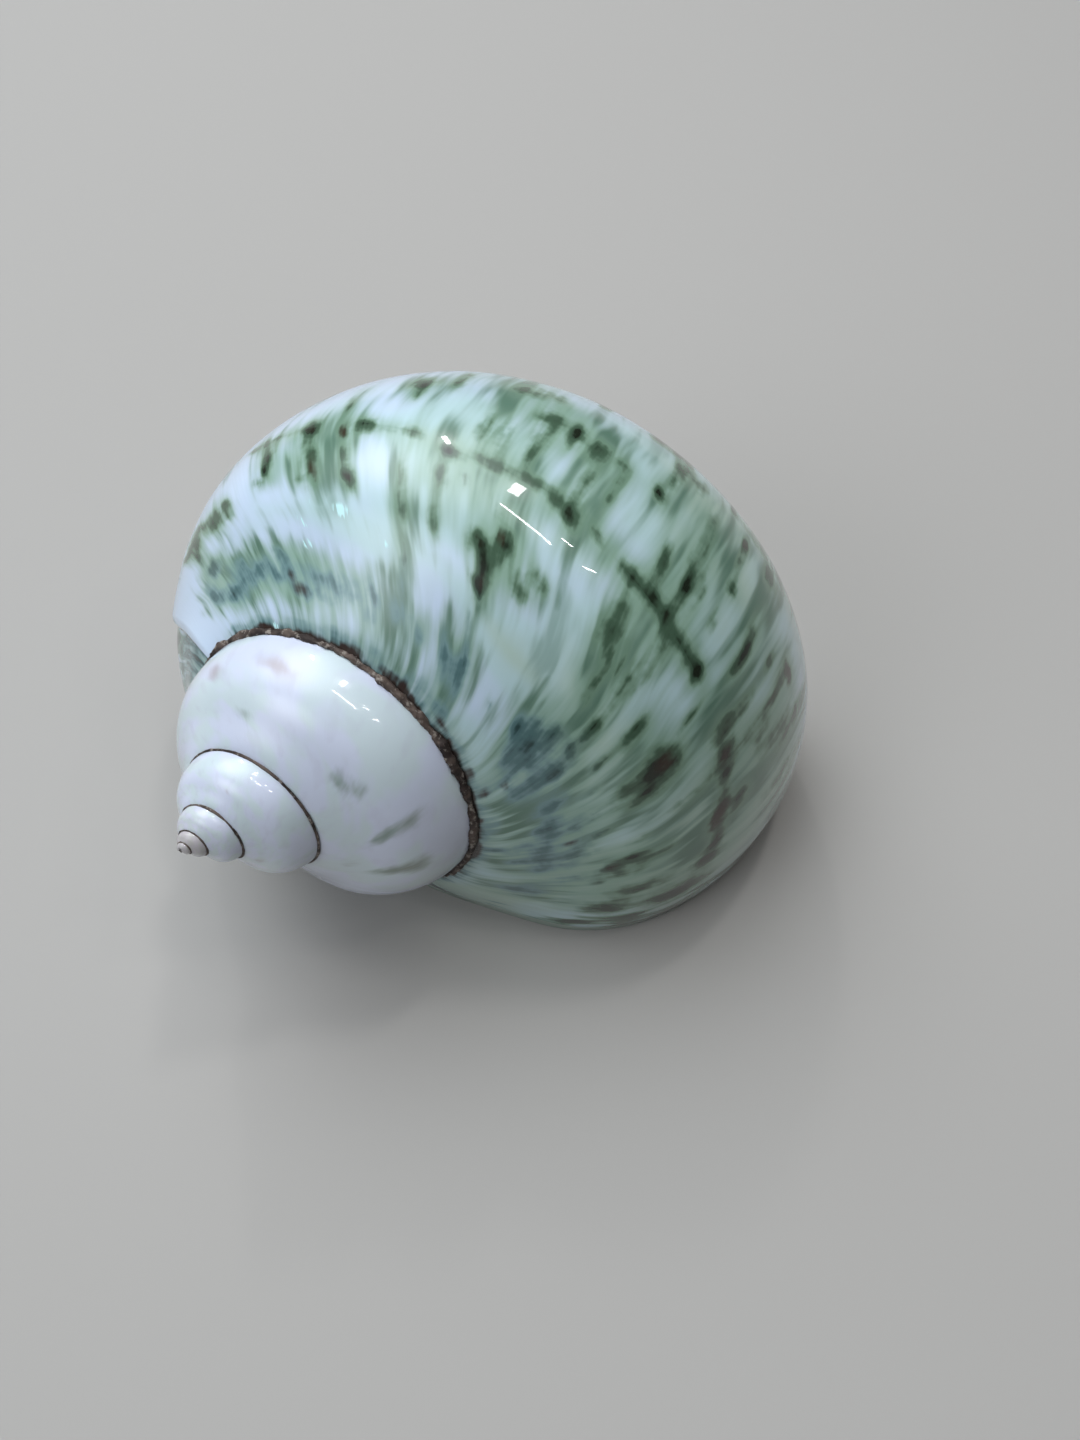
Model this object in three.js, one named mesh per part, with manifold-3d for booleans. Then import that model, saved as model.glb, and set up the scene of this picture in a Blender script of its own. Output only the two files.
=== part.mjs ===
// Large green turbo shell, resting on its mouth with the spire raised. Millimetres, +Z up.
//
// The animal builds the shell by adding rings of the same shape, each a little larger and a little
// further round one straight coiling axis, with every ring in scale about the apex. Each sub-part
// below is a stage or a layer of that growth. The growth count "turn" is 0 at the mouth and falls
// by 1 for each full turn back towards the apex.

import * as THREE from 'three';
import * as BufferGeometryUtils from 'three/addons/utils/BufferGeometryUtils.js';
import Module from 'manifold-3d';

// Growth of the coil.
const WHORL_GROWTH = 2.185;      // size of each ring over the ring one turn before it
const RING_RADIUS = 47.5;        // coiling axis to the ring's centre, at turn 0
const RING_HALF_WIDTH = 0.727;   // across the axis, in ring radii
const RING_HALF_HEIGHT = 1.06;   // along the axis, in ring radii
const RING_DROP = 2.048;         // apex to the ring's centre along the axis, in ring radii
const RING_SHAPE = [             // how the ring departs from an ellipse
  { order: 2, cos: 0.052, sin: 0.141 },
  { order: 3, cos: 0.032, sin: -0.031 },
  { order: 4, cos: -0.019, sin: 0 },
];
const NAVEL_FILL = 0.27;         // how far the ring reaches in to close the navel
const NAVEL_ANGLE = 145 * Math.PI / 180;
const NAVEL_REACH = 50 * Math.PI / 180;

// How the shell lies: the axis falls from the apex to the base, and the mouth ends under it.
const AXIS_FALL = 17.72 * Math.PI / 180;
const MOUTH_ANGLE = 171.3 * Math.PI / 180;
const MOUTH_END = 0;             // turn of the last ring
const SCAR_TURN = -0.66;         // where growth once stopped and started again
const WHORL_START = -1.05;       // where the last whorl leaves the penultimate one
const PROTOCONCH_START = -5.8;
const APEX = new THREE.Vector3(-60.4, 11.4, 54.2);

// Wall layers.
const GAP = 0.3;                 // kept between neighbouring sub-parts
const COARSE_GAP = 0.8;          // kept where a neighbour's mesh is coarser
const WALL_BASE = 1.4;           // wall thickness is this much everywhere,
const WALL_SHARE = 0.035;        // plus this share of the ring radius
const NACRE = 1.2;
const CALLUS = 1.9;              // outer face of the callus, above the gap to the older shell
const LIP_HEIGHT = 3.2;
const NACRE_START = -0.75;
const CALLUS_START = -0.4;

// Columella: the solid pillar that the whorls wind round.
const PILLAR_SLOPE = 0.098;
const PILLAR_TOP = 14;
const PILLAR_FOOT = 122;
const PILLAR_FOOT_TILT = 60 * Math.PI / 180;
const PILLAR_PROFILE = [         // share of the full radius, share of the length
  [0, 0],
  [1, 0],
  [1, 0.88],
  [0.88, 0.94],
  [0.62, 0.98],
  [0, 1],
];

// Suture seam: the rough raised thread where the last whorl meets the one before.
const SEAM_START = -1.1;
const SEAM_END = -0.1;
const SEAM_RADIUS = 0.03;        // in ring radii
const SEAM_ACROSS = 0.835;       // ring radii off the axis
const SEAM_ALONG = 0.985;        // ring radii along it
const SEAM_SIDES = 6;

const HAIR = 0.0004;             // turns left open between one growth stage and the next

// Mesh grids: rings per turn and sides per ring. Neighbours on one grid have parallel facets.
const FINE = { steps: 20, sides: 20 };
const MEDIUM = { steps: 16, sides: 16 };
const COARSE = { steps: 14, sides: 12 };
const TINY = { steps: 10, sides: 8 };
const LONGEST_COIL = 0.75;       // turns in one closed length, so that it can't run into itself
const NUDGE = 1e-6;
const MERGE_DISTANCE = 1e-4;
const FAR = 200;                 // beyond the shell in every direction

const wasm = await Module();
wasm.setup();

function ringRadius(turn) {
  return RING_RADIUS * WHORL_GROWTH ** turn;
}

function wallThickness(turn) {
  return WALL_BASE + WALL_SHARE * ringRadius(turn);
}

function ringOutline(angle) {
  let reach = 1;
  for (const wave of RING_SHAPE) {
    reach += wave.cos * Math.cos(wave.order * angle) + wave.sin * Math.sin(wave.order * angle);
  }
  const offNavel = Math.abs(angle - NAVEL_ANGLE) / NAVEL_REACH;
  if (offNavel < 1) {
    reach += NAVEL_FILL * Math.cos(offNavel * Math.PI / 2) ** 2;
  }
  return reach;
}

// From distance off the axis, angle round it and distance along it to the part's own frame.
function placeOnShell(across, turn, along) {
  const angle = MOUTH_ANGLE + 2 * Math.PI * turn;
  const lift = across * Math.cos(angle);
  return new THREE.Vector3(
    APEX.x + Math.sin(AXIS_FALL) * lift + Math.cos(AXIS_FALL) * along,
    APEX.y - across * Math.sin(angle),
    APEX.z + Math.cos(AXIS_FALL) * lift - Math.sin(AXIS_FALL) * along,
  );
}

// One point of a ring: angle 0 is outermost and a quarter turn on is nearest the base.
function ringPoint(turn, angle, share, inset) {
  const size = ringRadius(turn);
  const reach = ringOutline(angle);
  const halfWidth = Math.max(RING_HALF_WIDTH * reach - inset / size, 0);
  const halfHeight = Math.max(RING_HALF_HEIGHT * reach - inset / size, 0);
  const across = size * (1 + share * halfWidth * Math.cos(angle));
  const along = size * (RING_DROP + share * halfHeight * Math.sin(angle));
  return placeOnShell(across, turn, along);
}

// Bends a closed cylinder round the coil, its rings on a fixed grid of turns apart from the two ends.
// inset(turn) is how far the coil stays inside the shell's outer surface.
function coil(fromTurn, toTurn, inset, grid) {
  const first = Math.floor(fromTurn * grid.steps + NUDGE);
  const count = Math.ceil(toTurn * grid.steps - NUDGE) - first;
  const geometry = new THREE.CylinderGeometry(1, 1, count, grid.sides, count);
  const position = geometry.getAttribute('position');
  for (let i = 0; i < position.count; i += 1) {
    const angle = (Math.atan2(position.getZ(i), position.getX(i)) + 2 * Math.PI) % (2 * Math.PI);
    const share = Math.round(Math.hypot(position.getX(i), position.getZ(i)));
    const gridTurn = (first + count / 2 + position.getY(i)) / grid.steps;
    const turn = THREE.MathUtils.clamp(gridTurn, fromTurn, toTurn);
    const point = ringPoint(turn, angle, share, inset(turn));
    position.setXYZ(i, point.x, point.y, point.z);
  }
  return toSolid(geometry);
}

// A coil longer than one turn would run into itself, so it is joined from shorter lengths.
function longCoil(fromTurn, toTurn, inset, grid = FINE) {
  const length = Math.floor(LONGEST_COIL * grid.steps);
  let end = toTurn;
  let solid = null;
  while (end > fromTurn + NUDGE) {
    const start = Math.max(fromTurn, Math.ceil(end * grid.steps - NUDGE) / grid.steps - length / grid.steps);
    const piece = coil(start, end, inset, grid);
    solid = solid === null ? piece : solid.add(piece);
    end = start > fromTurn ? start + 1 / grid.steps : fromTurn;
  }
  return solid;
}

function toSolid(geometry) {
  const bare = geometry.clone();
  bare.deleteAttribute('normal');
  bare.deleteAttribute('uv');
  const merged = BufferGeometryUtils.mergeVertices(bare, MERGE_DISTANCE);
  const corners = [];
  for (let i = 0; i < merged.index.count; i += 3) {
    const triple = [merged.index.getX(i), merged.index.getX(i + 1), merged.index.getX(i + 2)];
    if (new Set(triple).size === 3) {
      corners.push(...triple);
    }
  }
  const vertProperties = new Float32Array(merged.getAttribute('position').array);
  let solid = build(vertProperties, corners);
  if (solid.volume() < 0) {
    solid = build(vertProperties, corners.reverse());
  }
  return solid;
}

function build(vertProperties, corners) {
  const triVerts = new Uint32Array(corners);
  return new wasm.Manifold(new wasm.Mesh({ numProp: 3, vertProperties, triVerts }));
}

// Booleans can leave slivers beside the real body, so only the largest closed body is kept.
function largestBody(solid) {
  const bodies = solid.decompose();
  return bodies.reduce((best, body) => (body.volume() > best.volume() ? body : best));
}

function toGeometry(solid) {
  const mesh = solid.getMesh();
  const geometry = new THREE.BufferGeometry();
  geometry.setAttribute('position', new THREE.BufferAttribute(mesh.vertProperties, 3));
  geometry.setIndex(new THREE.BufferAttribute(mesh.triVerts, 1));
  geometry.computeVertexNormals();
  return geometry;
}

function subPart(name, solid, color, roughness) {
  const material = new THREE.MeshStandardMaterial({ color, roughness, metalness: 0 });
  const mesh = new THREE.Mesh(toGeometry(largestBody(solid)), material);
  mesh.name = name;
  return mesh;
}

function slab(lowZ, highZ) {
  const height = highZ - lowZ;
  const geometry = new THREE.BoxGeometry(2 * FAR, 2 * FAR, height);
  geometry.translate(0, 0, lowZ + height / 2);
  return toSolid(geometry);
}

const outward = (distance) => () => -distance;
const throughWall = (extra) => (turn) => wallThickness(turn) + extra;
const underTable = slab(-FAR, 0);

// A hollow growth stage: the ring's wall, less the older shell that it sits against.
function growthStage(fromTurn, toTurn, grid = FINE) {
  const margin = 1 / grid.steps;
  const outside = longCoil(fromTurn + HAIR, toTurn - HAIR, outward(0), grid);
  const inside = longCoil(fromTurn - margin, toTurn + margin, throughWall(0), grid);
  const older = olderShell(fromTurn, toTurn, GAP, grid);
  return outside.subtract(inside).subtract(older).subtract(underTable);
}

// The older whorls that lie against a stage, swollen by the room that they need.
function olderShell(fromTurn, toTurn, room, grid = FINE) {
  const margin = 1 / grid.steps;
  return longCoil(fromTurn - 2 - margin, toTurn - 1 + margin, outward(room), grid);
}

// The early whorls are filled with later shell, so they are solid.
function filledStage(fromTurn, toTurn, grid) {
  const outside = longCoil(fromTurn + HAIR, toTurn - HAIR, outward(0), grid);
  return outside.subtract(olderShell(fromTurn, toTurn, GAP / 2, grid));
}

// The pearly lining of the last whorl, kept off the callus on the older shell.
function nacreLining() {
  const margin = 1 / FINE.steps;
  const outside = longCoil(NACRE_START, MOUTH_END, throughWall(GAP));
  const inside = longCoil(NACRE_START - margin, MOUTH_END + margin, throughWall(GAP + NACRE));
  const older = olderShell(NACRE_START, MOUTH_END, 2 * GAP + CALLUS);
  return outside.subtract(inside).subtract(older).subtract(underTable);
}

// The glaze that the animal lays over the older shell inside the mouth.
function parietalCallus() {
  const room = longCoil(CALLUS_START, MOUTH_END, throughWall(GAP));
  const glazed = olderShell(CALLUS_START, MOUTH_END, GAP + CALLUS);
  const older = olderShell(CALLUS_START, MOUTH_END, COARSE_GAP);
  return room.intersect(glazed).subtract(older).subtract(underTable);
}

// A cone inside the whorls. Its rounded foot slants, to follow the base as it winds to the mouth.
function pillar() {
  const slope = PILLAR_SLOPE * Math.tan(PILLAR_FOOT_TILT);
  const profile = PILLAR_PROFILE.map(([share, height]) => new THREE.Vector2(share, height));
  const geometry = new THREE.LatheGeometry(profile, FINE.sides);
  const position = geometry.getAttribute('position');
  for (let i = 0; i < position.count; i += 1) {
    const turn = Math.atan2(position.getZ(i), position.getX(i)) / (2 * Math.PI);
    const share = Math.hypot(position.getX(i), position.getZ(i));
    const lift = share * Math.cos(MOUTH_ANGLE + 2 * Math.PI * turn);
    const foot = PILLAR_FOOT / (1 + slope * (1 + lift));
    const along = PILLAR_TOP + (foot - PILLAR_TOP) * position.getY(i);
    const point = placeOnShell(share * (PILLAR_SLOPE * along - GAP), turn, along);
    position.setXYZ(i, point.x, point.y, point.z);
  }
  return toSolid(geometry).subtract(underTable);
}

// A thread laid along the line where the last whorl meets the one before.
function seam() {
  const length = SEAM_END - SEAM_START;
  const steps = Math.round(length * FINE.steps);
  const geometry = new THREE.CylinderGeometry(1, 1, length, SEAM_SIDES, steps);
  const position = geometry.getAttribute('position');
  for (let i = 0; i < position.count; i += 1) {
    const turn = (SEAM_START + SEAM_END) / 2 + position.getY(i);
    const size = ringRadius(turn);
    const across = size * (SEAM_ACROSS + SEAM_RADIUS * position.getX(i));
    const along = size * (SEAM_ALONG + SEAM_RADIUS * position.getZ(i));
    const point = placeOnShell(across, turn, along);
    position.setXYZ(i, point.x, point.y, point.z);
  }
  const margin = 1 / FINE.steps;
  const lastWhorl = longCoil(SEAM_START - margin, SEAM_END + margin, outward(GAP));
  const older = olderShell(SEAM_START, SEAM_END, COARSE_GAP);
  return toSolid(geometry).subtract(lastWhorl).subtract(older).subtract(underTable);
}

const lastGrowth = growthStage(SCAR_TURN, MOUTH_END);
const lipBand = slab(0, LIP_HEIGHT);
const aboveLip = slab(LIP_HEIGHT + GAP, FAR);

const shell = new THREE.Group();
shell.add(subPart('body_whorl', lastGrowth.intersect(aboveLip), 0xb9cdc9, 0.18));
shell.add(subPart('outer_lip', lastGrowth.intersect(lipBand), 0xd9dccf, 0.25));
shell.add(subPart('body_whorl_early', growthStage(WHORL_START, SCAR_TURN), 0x8fb0ab, 0.18));
shell.add(subPart('penultimate_whorl', growthStage(WHORL_START - 1, WHORL_START, MEDIUM), 0xdfe2ee, 0.16));
shell.add(subPart('spire_whorl_3', growthStage(WHORL_START - 2, WHORL_START - 1, COARSE), 0xe2e3ec, 0.16));
shell.add(subPart('spire_whorl_2', filledStage(WHORL_START - 3, WHORL_START - 2, COARSE), 0xe0ddde, 0.2));
shell.add(subPart('protoconch', filledStage(PROTOCONCH_START, WHORL_START - 3, TINY), 0xd8cfc6, 0.25));
shell.add(subPart('nacre_lining', nacreLining(), 0xdfe6e2, 0.12));
shell.add(subPart('parietal_callus', parietalCallus(), 0xeceae2, 0.15));
shell.add(subPart('columella', pillar(), 0xe9e6dd, 0.2));
shell.add(subPart('suture_seam', seam(), 0x5e4a3c, 0.8));

export default shell;
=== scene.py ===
# %% [markdown]
# # A large green turbo shell
# A turbo shell is a tube that grows. The animal adds a thin rim to the mouth, again and again, and
# each rim has the shape of the last one, a little larger and a little further round one straight
# axis. Blender can build it in just that way: draw one ring, spin it about the axis, and enlarge
# each copy by its age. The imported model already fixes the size, the axis and the places.

# %% The frame
import math

import bmesh
import bpy
from mathutils import Matrix, Quaternion, Vector, noise


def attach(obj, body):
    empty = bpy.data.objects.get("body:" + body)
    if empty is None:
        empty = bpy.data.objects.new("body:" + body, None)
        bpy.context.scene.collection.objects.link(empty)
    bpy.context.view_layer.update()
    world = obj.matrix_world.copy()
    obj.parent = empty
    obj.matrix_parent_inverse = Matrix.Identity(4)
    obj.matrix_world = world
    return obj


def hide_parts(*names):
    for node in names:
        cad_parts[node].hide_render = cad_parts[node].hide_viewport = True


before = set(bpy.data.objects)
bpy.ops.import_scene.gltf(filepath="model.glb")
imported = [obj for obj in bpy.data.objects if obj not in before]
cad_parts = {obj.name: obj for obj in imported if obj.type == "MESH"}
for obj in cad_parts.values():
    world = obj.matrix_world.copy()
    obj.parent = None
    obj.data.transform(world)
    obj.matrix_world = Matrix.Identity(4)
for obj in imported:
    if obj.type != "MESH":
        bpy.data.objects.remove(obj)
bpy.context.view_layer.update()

# %% [markdown]
# ## The growth law
# The ring is nearly an ellipse, so a few low waves on an ellipse describe it. Angle 0 is the point
# of the ring furthest from the coiling axis, a quarter turn on is nearest the base, and the suture,
# where a whorl meets the one before, is at a little over a quarter turn back. The growth lines don't
# lie in a plane with the axis: they lean back from the suture, and every ring here leans with them.

# %% Growth values, the same as the CAD model's
MM = 0.001
WHORL_GROWTH = 2.185
RING_RADIUS = 47.5 * MM
RING_HALF_WIDTH = 0.727
RING_HALF_HEIGHT = 1.06
RING_DROP = 2.048
RING_SHAPE = ((2, 0.052, 0.141), (3, 0.032, -0.031), (4, -0.019, 0.0))
NAVEL_FILL, NAVEL_ANGLE, NAVEL_REACH = 0.27, 145, 50
AXIS_FALL = math.radians(17.72)
MOUTH_ANGLE = math.radians(171.3)
APEX = Vector((-60.4, 11.4, 54.2)) * MM
AXIS = Vector((math.cos(AXIS_FALL), 0, -math.sin(AXIS_FALL)))
UPWARD = Vector((math.sin(AXIS_FALL), 0, math.cos(AXIS_FALL)))
SIDEWARD = AXIS.cross(UPWARD)

SUTURE_ANGLE = -105
PILLAR_ANGLE = 214
LEAN = 0.125


def ring_reach(angle):
    """How far the ring reaches at an angle in degrees, as a share of a plain ellipse."""
    turn = math.radians(angle)
    reach = 1 + sum(c * math.cos(n * turn) + s * math.sin(n * turn) for n, c, s in RING_SHAPE)
    off_navel = abs(angle % 360 - NAVEL_ANGLE) / NAVEL_REACH
    if off_navel < 1:
        reach += NAVEL_FILL * math.cos(off_navel * math.pi / 2) ** 2
    return reach


def lean(angle):
    """How far behind the suture a growth line has fallen at this angle, in turns."""
    share = (angle - SUTURE_ANGLE) / (PILLAR_ANGLE - SUTURE_ANGLE)
    return -LEAN * math.sin(math.pi * min(max(share, 0), 1))


def ring_spot(angle, depth=0.0):
    """Distance off the axis and along it, in ring radii. depth is how far inside the surface."""
    turn = math.radians(angle)
    reach = ring_reach(angle)
    across = 1 + (RING_HALF_WIDTH * reach - depth) * math.cos(turn)
    along = RING_DROP + (RING_HALF_HEIGHT * reach - depth) * math.sin(turn)
    return across, along


def place(turn, across, along):
    """A point in the part's own frame, from its turn and its distances in ring radii."""
    size = RING_RADIUS * WHORL_GROWTH**turn
    angle = MOUTH_ANGLE + 2 * math.pi * turn
    spoke = UPWARD * math.cos(angle) + SIDEWARD * math.sin(angle)
    return APEX + size * (across * spoke + along * AXIS)


print("Side of the last whorl, mm:", round(ring_spot(0)[0] * RING_RADIUS / MM, 1))

# %% [markdown]
# ## Growing a length of shell
# A ring of wall is a thin C: out along the outer face, round the edge and back along the inner face.
# Its two ends sink into the older whorl, where a real whorl is fused on. A bmesh circle is pulled
# into that outline and spun about the coiling axis, and then each ring is scaled about the apex by
# its age. Extruding ring after ring gives the same shape, but takes far longer. Every vertex
# remembers its age, its angle and its depth, because the colours of a shell follow the growth and
# not the room. The ends are closed, so each length is a solid.

# %% Growing tools
WALL = 0.066
NACRE = 0.03


def wall_outline(outer_depth, inner_depth, outer_count, inner_count):
    """Angles and depths round one ring of wall."""
    sink = 60 * (inner_depth - outer_depth)
    outer = [SUTURE_ANGLE - 1.5 - 15 * outer_depth, PILLAR_ANGLE + 15 * outer_depth]
    inner = [outer[0] - sink / 2, outer[1] + sink / 3]
    spots = []
    for i in range(outer_count):
        spots.append((outer[0] + (outer[1] - outer[0]) * i / (outer_count - 1), outer_depth))
    for i in range(inner_count):
        spots.append((inner[1] + (inner[0] - inner[1]) * i / (inner_count - 1), inner_depth))
    return spots


def solid_outline(count):
    """Angles and depths round a ring that is filled with shell."""
    return [(SUTURE_ANGLE + 360 * i / count, 0.0) for i in range(count)]


def grow(first, last, outline, rings_per_turn):
    """A closed length of shell between two ages: one ring, spun about the axis, then enlarged."""
    bm = bmesh.new()
    age_layer = bm.verts.layers.float.new("age")
    around_layer = bm.verts.layers.float.new("around")
    depth_layer = bm.verts.layers.float.new("depth")
    ring = bmesh.ops.create_circle(bm, segments=len(outline), radius=1)["verts"]
    for vert, (angle, depth) in zip(ring, outline):
        vert.co = place(first + lean(angle), *ring_spot(angle, depth))
        vert[age_layer], vert[around_layer], vert[depth_layer] = first, angle, depth
    steps = round((last - first) * rings_per_turn)
    spin_and_swell(bm, first, last, steps)
    sharpen(close_ends(bm))
    bmesh.ops.recalc_face_normals(bm, faces=bm.faces)
    return bm


def spin_and_swell(bm, first, last, steps):
    """Spins a ring through the turns between two ages, and swells each ring by its own age."""
    age_layer = bm.verts.layers.float["age"]
    count = len(bm.verts)
    bmesh.ops.spin(
        bm,
        geom=list(bm.verts) + list(bm.edges),
        cent=APEX,
        axis=AXIS,
        angle=2 * math.pi * (last - first),
        steps=steps,
        use_merge=False,
    )
    for index, vert in enumerate(bm.verts):
        grown = (last - first) * (index // count) / steps
        vert[age_layer] = first + grown
        vert.co = APEX + (vert.co - APEX) * WHORL_GROWTH**grown


def close_ends(bm):
    """Fills each open end with one face."""
    rim = [edge for edge in bm.edges if edge.is_boundary]
    return bmesh.ops.holes_fill(bm, edges=rim, sides=0)["faces"]


def sharpen(faces):
    """The rim of an end face stays a crisp edge when the rest is shaded smooth."""
    for face in faces:
        for edge in face.edges:
            edge.smooth = False


def cut_level(bm, height, keep_above=True):
    """Cuts a solid with a level plane and closes the cut with a flat face."""
    geom = list(bm.verts) + list(bm.edges) + list(bm.faces)
    bmesh.ops.bisect_plane(
        bm,
        geom=geom,
        plane_co=(0, 0, height),
        plane_no=(0, 0, 1),
        clear_inner=keep_above,
        clear_outer=not keep_above,
    )
    rim = [edge for edge in bm.edges if edge.is_boundary]
    if rim:
        bmesh.ops.triangle_fill(bm, edges=rim, use_beauty=True)
        for edge in rim:
            edge.smooth = False
    bmesh.ops.recalc_face_normals(bm, faces=bm.faces)


def finish_piece(bm, name, material, replaces):
    """Turns a bmesh into a named piece on the shell's one body. replaces may be None."""
    mesh = bpy.data.meshes.new(name)
    for face in bm.faces:
        face.smooth = True
    bm.to_mesh(mesh)
    bm.free()
    piece = bpy.data.objects.new(name, mesh)
    bpy.context.scene.collection.objects.link(piece)
    mesh.materials.append(material)
    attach(piece, "root")
    if replaces:
        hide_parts(replaces)
    print(name, "has", len(mesh.vertices), "vertices")
    return piece


# %% [markdown]
# ## Where the marks are
# The mossy marks of this shell were laid down at the growing edge, so they are long along the growth
# lines and short across them, and they are darkest where they cross one of a few spiral bands. The
# main ones are listed: the age in turns, the angle in degrees, the half length in degrees,
# the half width in turns, how green and how brown. They are kept on the vertices as soft spots. The
# material breaks up their edges later, because fine streaks need more points than a mesh has.

# %% Marks of the last whorl
SCAR_AGE = -0.648
SHOULDER_BAND = (
    (-0.592, -78, 7, 0.008, 0.7, 0), (-0.585, -84, 3, 0.009, 0.6, 0), (-0.565, -85, 4, 0.009, 0.75, 0.3),
    (-0.558, -90, 3, 0.006, 0.4, 0), (-0.550, -79, 5, 0.012, 0.75, 0), (-0.530, -79, 5, 0.012, 0.8, 0),
    (-0.510, -80, 5, 0.012, 0.75, 0), (-0.545, -72, 4, 0.012, 0.45, 0), (-0.502, -73, 5, 0.010, 0.65, 0),
    (-0.493, -86, 3, 0.007, 0.4, 1), (-0.498, -81, 3, 0.004, 0.4, 0.9), (-0.486, -88, 3, 0.006, 0.5, 0.2),
    (-0.475, -80, 5, 0.010, 0.65, 0), (-0.460, -81, 5, 0.010, 0.7, 0), (-0.445, -80, 5, 0.010, 0.6, 0),
    (-0.470, -87, 3, 0.010, 0.4, 0), (-0.430, -86, 4, 0.006, 0.4, 0), (-0.424, -78, 6, 0.005, 0.8, 0),
    (-0.578, -70, 4, 0.005, 0.6, 0), (-0.574, -66, 3, 0.007, 0.75, 0), (-0.566, -63, 3, 0.006, 0.5, 0),
    (-0.405, -78, 5, 0.006, 0.35, 0), (-0.390, -82, 5, 0.007, 0.5, 0), (-0.366, -78, 7, 0.005, 0.6, 0),
    (-0.348, -80, 6, 0.005, 0.9, 0), (-0.360, -85, 5, 0.006, 0.45, 0), (-0.345, -89, 4, 0.004, 0.4, 0),
    (-0.318, -81, 2, 0.003, 0.35, 0), (-0.292, -77, 4, 0.005, 0.75, 0), (-0.280, -78, 6, 0.008, 0.9, 0),
    (-0.283, -84, 3, 0.004, 0.6, 0.4), (-0.265, -78, 6, 0.009, 0.95, 0), (-0.249, -77, 7, 0.008, 0.95, 0),
    (-0.265, -88, 5, 0.018, 0.5, 0), (-0.280, -70, 5, 0.008, 0.7, 0), (-0.267, -66, 5, 0.006, 0.85, 0),
    (-0.246, -70, 6, 0.005, 0.9, 0), (-0.252, -62, 3, 0.008, 0.6, 0), (-0.262, -91, 2, 0.004, 0.4, 1),
    (-0.226, -79, 5, 0.006, 0.75, 0), (-0.226, -71, 5, 0.004, 0.5, 0), (-0.205, -78, 6, 0.010, 0.8, 0),
    (-0.185, -80, 6, 0.012, 0.8, 0), (-0.165, -78, 6, 0.010, 0.7, 0), (-0.190, -90, 5, 0.008, 0.5, 0),
    (-0.172, -89, 4, 0.006, 0.55, 0), (-0.200, -67, 5, 0.006, 0.65, 0), (-0.185, -70, 3, 0.004, 0.5, 0.9),
    (-0.170, -66, 6, 0.010, 0.7, 0), (-0.200, -60, 4, 0.004, 0.5, 0), (-0.125, -80, 8, 0.010, 0.65, 0),
    (-0.143, -66, 7, 0.006, 0.5, 0), (-0.190, -97, 3, 0.005, 0.65, 0),
)
UPPER_BACK = (
    (-0.582, -58, 5, 0.004, 0.4, 0), (-0.580, -50, 5, 0.004, 0.45, 0), (-0.574, -44, 4, 0.005, 0.55, 0),
    (-0.590, -40, 4, 0.010, 0.6, 0), (-0.568, -37, 4, 0.010, 0.65, 0), (-0.545, -42, 5, 0.009, 0.6, 0),
    (-0.530, -44, 4, 0.006, 0.5, 0), (-0.530, -38, 3, 0.005, 0.7, 0), (-0.495, -36, 3, 0.005, 0.45, 0),
    (-0.490, -31, 4, 0.003, 0.7, 0), (-0.486, -26, 4, 0.004, 0.7, 0), (-0.484, -20, 4, 0.006, 0.5, 0),
    (-0.452, -33, 5, 0.005, 0.45, 0.8), (-0.459, -36, 6, 0.006, 0.45, 0.2), (-0.450, -27, 3, 0.004, 0.6, 0.4),
    (-0.456, -21, 5, 0.006, 0.45, 0), (-0.428, -37, 4, 0.003, 0.5, 0.3), (-0.428, -33, 3, 0.004, 0.7, 0.4),
    (-0.431, -26, 4, 0.003, 0.6, 0), (-0.395, -38, 6, 0.004, 0.7, 0), (-0.395, -26, 6, 0.003, 0.4, 0),
    (-0.376, -38, 6, 0.004, 0.45, 0), (-0.376, -24, 5, 0.004, 0.5, 0), (-0.363, -21, 3, 0.004, 0.3, 0.5),
    (-0.400, -65, 8, 0.004, 0.35, 0), (-0.395, -54, 8, 0.003, 0.4, 0), (-0.350, -65, 8, 0.003, 0.35, 0),
    (-0.348, -49, 4, 0.004, 0.85, 0.2), (-0.343, -47, 3, 0.003, 0.6, 0.5), (-0.345, -41, 4, 0.004, 0.75, 0),
    (-0.352, -37, 3, 0.005, 0.8, 0.4), (-0.340, -37, 4, 0.005, 0.7, 0), (-0.339, -31, 3, 0.003, 0.6, 0.9),
    (-0.334, -32, 3, 0.004, 0.7, 0), (-0.322, -40, 5, 0.005, 0.65, 0), (-0.313, -34, 3, 0.006, 0.45, 0),
    (-0.345, -24, 4, 0.006, 0.35, 0),
)
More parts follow.
